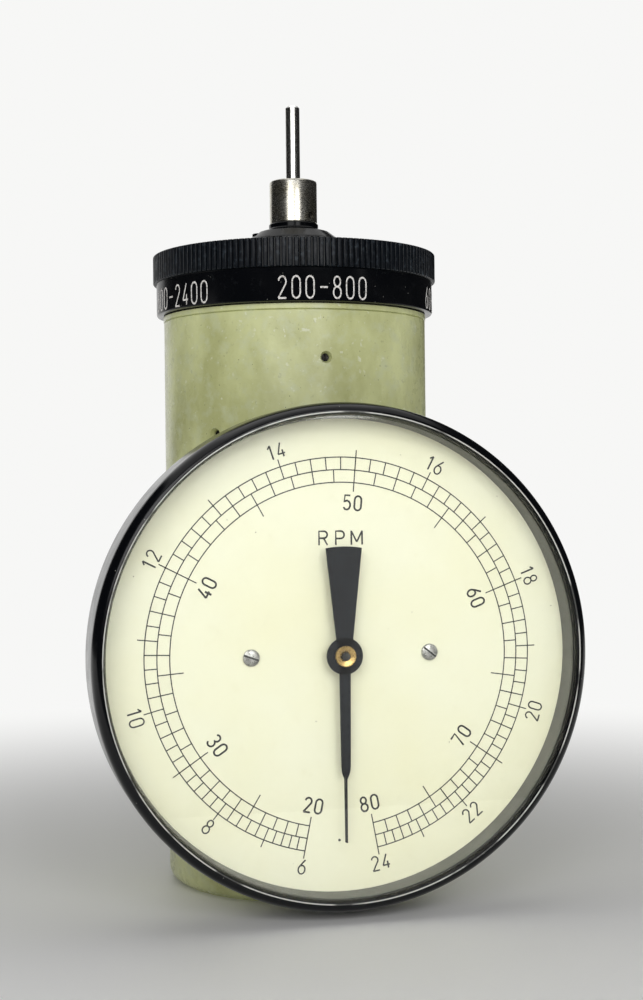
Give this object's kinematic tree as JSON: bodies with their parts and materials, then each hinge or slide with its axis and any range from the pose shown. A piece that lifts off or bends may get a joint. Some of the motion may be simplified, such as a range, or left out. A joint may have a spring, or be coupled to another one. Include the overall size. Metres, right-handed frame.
{
  "type": "handheld tachometer",
  "caption": "Round-bodied hand tachometer with a turning range ring, a spindle at the nose and a large round dial facing sideways; gear train and governor inside.",
  "frame": {"origin": "centre of the flat rear cap's face, on the axis of the round body", "axes": "+Z along the body's axis towards the spindle's tip, -Y out of the dial's face, +X to the right of someone who reads the dial"},
  "size_m": [0.112, 0.0856, 0.19],
  "materials": {
    "body_paint": "yellow-green stoved paint",
    "black_gloss": "black gloss enamel",
    "nickel": "worn nickel plate",
    "steel": "bright turned steel",
    "brass": "plain brass",
    "bronze": "bearing bronze",
    "dial_white": "aged cream-white dial enamel",
    "pointer_black": "matt black enamel",
    "glass": "clear glass",
    "gasket": "black rubber",
    "ring_grey": "light grey satin paint",
    "spring_steel": "blued spring steel"
  },
  "bodies": {
    "housing": {"body_housing": "body_paint", "rear_cap": "body_paint", "rear_cap_screws": "nickel", "body_screws": "nickel", "dial_case": "body_paint", "case_screws": "steel", "bezel": "black_gloss", "glass_gasket": "gasket", "dial_glass": "glass", "spacer_ring": "ring_grey", "dial_plate": "dial_white", "dial_screws": "nickel", "movement_plate": "brass", "movement_bridge": "brass", "hairspring": "spring_steel", "nose_boss": "black_gloss", "nose_screws": "black_gloss", "nose_collar": "nickel", "collar_screw": "steel", "spindle_bush_front": "bronze", "spindle_bush_rear": "bronze", "gear_plate_upper": "brass", "gear_plate_lower": "brass", "gear_pillars": "steel", "governor_plate": "brass", "governor_pillars": "steel", "idler_shaft": "steel", "detent_seat": "brass", "detent_ball": "steel", "detent_spring": "spring_steel", "governor_bushes": "bronze", "follower_guide": "steel"},
    "range_selector": {"range_ring": "black_gloss", "range_gear": "brass"},
    "range_screw_body": {"range_screw": "steel"},
    "shift_fork_body": {"shift_fork": "brass"},
    "pickoff_pinion_body": {"pickoff_pinion": "steel"},
    "spindle_body": {"spindle": "steel", "spindle_gears": "brass"},
    "idler_1": {"idler_gear_1": "brass"},
    "idler_2": {"idler_gear_2": "brass"},
    "idler_3": {"idler_gear_3": "brass"},
    "idler_4": {"idler_gear_4": "brass"},
    "pickoff_shaft_body": {"pickoff_shaft": "steel", "output_wheel": "brass"},
    "governor_rotor": {"governor_shaft": "steel", "governor_pinion": "steel", "weight_carrier": "steel", "weight_pins": "steel", "spring_seat": "steel", "governor_spring": "spring_steel"},
    "sleeve_body": {"governor_sleeve": "bronze"},
    "flyweight_right_body": {"flyweight_right": "brass"},
    "flyweight_left_body": {"flyweight_left": "brass"},
    "follower_body": {"follower_rack": "steel"},
    "movement_arbor_body": {"movement_arbor": "brass"},
    "pointer_body": {"pointer_arbor": "steel", "pointer": "pointer_black", "pointer_boss": "brass"}
  },
  "joints": [
    {"name": "range_select", "type": "hinge", "parent": "housing", "child": "range_selector", "pos_m": [0, 0, 0.15], "axis": [0, 0, 1], "range_deg": [-72, 216]},
    {"name": "range_screw_turn", "type": "hinge", "parent": "housing", "child": "range_screw_body", "pos_m": [0.0192, 0, 0.13], "axis": [0, 0, 1], "range_deg": [-432, 144]},
    {"name": "shift_fork_slide", "type": "slide", "parent": "housing", "child": "shift_fork_body", "axis": [0, 0, 1], "range_m": [-0.009, 0.003]},
    {"name": "pickoff_pinion_spin", "type": "hinge", "parent": "shift_fork_body", "child": "pickoff_pinion_body", "pos_m": [0.01351, 0.0078, 0.139], "axis": [0, 0, 1], "continuous": true},
    {"name": "spindle_spin", "type": "hinge", "parent": "housing", "child": "spindle_body", "pos_m": [0, 0, 0.15], "axis": [0, 0, 1], "continuous": true},
    {"name": "idler_1_spin", "type": "hinge", "parent": "housing", "child": "idler_1", "pos_m": [0, 0.0156, 0.139], "axis": [0, 0, 1], "continuous": true},
    {"name": "idler_2_spin", "type": "hinge", "parent": "housing", "child": "idler_2", "pos_m": [0, 0, 0.136], "axis": [0, 0, 1], "continuous": true},
    {"name": "idler_3_spin", "type": "hinge", "parent": "housing", "child": "idler_3", "pos_m": [0, 0.0156, 0.133], "axis": [0, 0, 1], "continuous": true},
    {"name": "idler_4_spin", "type": "hinge", "parent": "housing", "child": "idler_4", "pos_m": [0, 0, 0.13], "axis": [0, 0, 1], "continuous": true},
    {"name": "pickoff_shaft_spin", "type": "hinge", "parent": "housing", "child": "pickoff_shaft_body", "pos_m": [0.01351, 0.0078, 0.13], "axis": [0, 0, 1], "continuous": true},
    {"name": "governor_spin", "type": "hinge", "parent": "housing", "child": "governor_rotor", "pos_m": [0, 0, 0.06], "axis": [0, 0, 1], "continuous": true},
    {"name": "sleeve_lift", "type": "slide", "parent": "governor_rotor", "child": "sleeve_body", "axis": [0, 0, 1], "range_m": [0, 0.00611], "stiffness_N_per_m": 900, "springref_m": -0.002, "deforming": ["governor_spring"]},
    {"name": "flyweight_right_swing", "type": "hinge", "parent": "governor_rotor", "child": "flyweight_right_body", "pos_m": [0.013, 0, 0.048], "axis": [0, 1, 0], "range_deg": [0, 40]},
    {"name": "flyweight_left_swing", "type": "hinge", "parent": "governor_rotor", "child": "flyweight_left_body", "pos_m": [-0.013, 0, 0.048], "axis": [0, -1, 0], "range_deg": [0, 40]},
    {"name": "follower_slide", "type": "slide", "parent": "housing", "child": "follower_body", "axis": [0, 0, 1], "range_m": [0, 0.00611]},
    {"name": "movement_arbor_turn", "type": "hinge", "parent": "housing", "child": "movement_arbor_body", "pos_m": [-0.01039, -0.0375, 0.064], "axis": [0, -1, 0], "range_deg": [0, 116.67]},
    {"name": "pointer_turn", "type": "hinge", "parent": "housing", "child": "pointer_body", "pos_m": [0, -0.0425, 0.058], "axis": [0, 1, 0], "range_deg": [0, 350]}
  ],
  "couplings": [
    {"joint": "range_screw_turn", "follows": "range_select", "ratio": -2},
    {"joint": "shift_fork_slide", "follows": "range_select", "m_per_rad": -0.0023873},
    {"joint": "pickoff_pinion_spin", "follows": "spindle_spin", "ratio": 1},
    {"joint": "idler_1_spin", "follows": "spindle_spin", "ratio": -0.3},
    {"joint": "idler_2_spin", "follows": "spindle_spin", "ratio": 0.1},
    {"joint": "idler_3_spin", "follows": "spindle_spin", "ratio": -0.03},
    {"joint": "idler_4_spin", "follows": "spindle_spin", "ratio": 0.01},
    {"joint": "pickoff_shaft_spin", "follows": "spindle_spin", "ratio": 1},
    {"joint": "governor_spin", "follows": "spindle_spin", "ratio": -3.3333},
    {"joint": "flyweight_right_swing", "follows": "sleeve_lift", "rad_per_m": 114.28},
    {"joint": "flyweight_left_swing", "follows": "sleeve_lift", "rad_per_m": 114.28},
    {"joint": "follower_slide", "follows": "sleeve_lift", "ratio": 1},
    {"joint": "movement_arbor_turn", "follows": "sleeve_lift", "rad_per_m": 333.33},
    {"joint": "pointer_turn", "follows": "sleeve_lift", "rad_per_m": 1000}
  ]
}
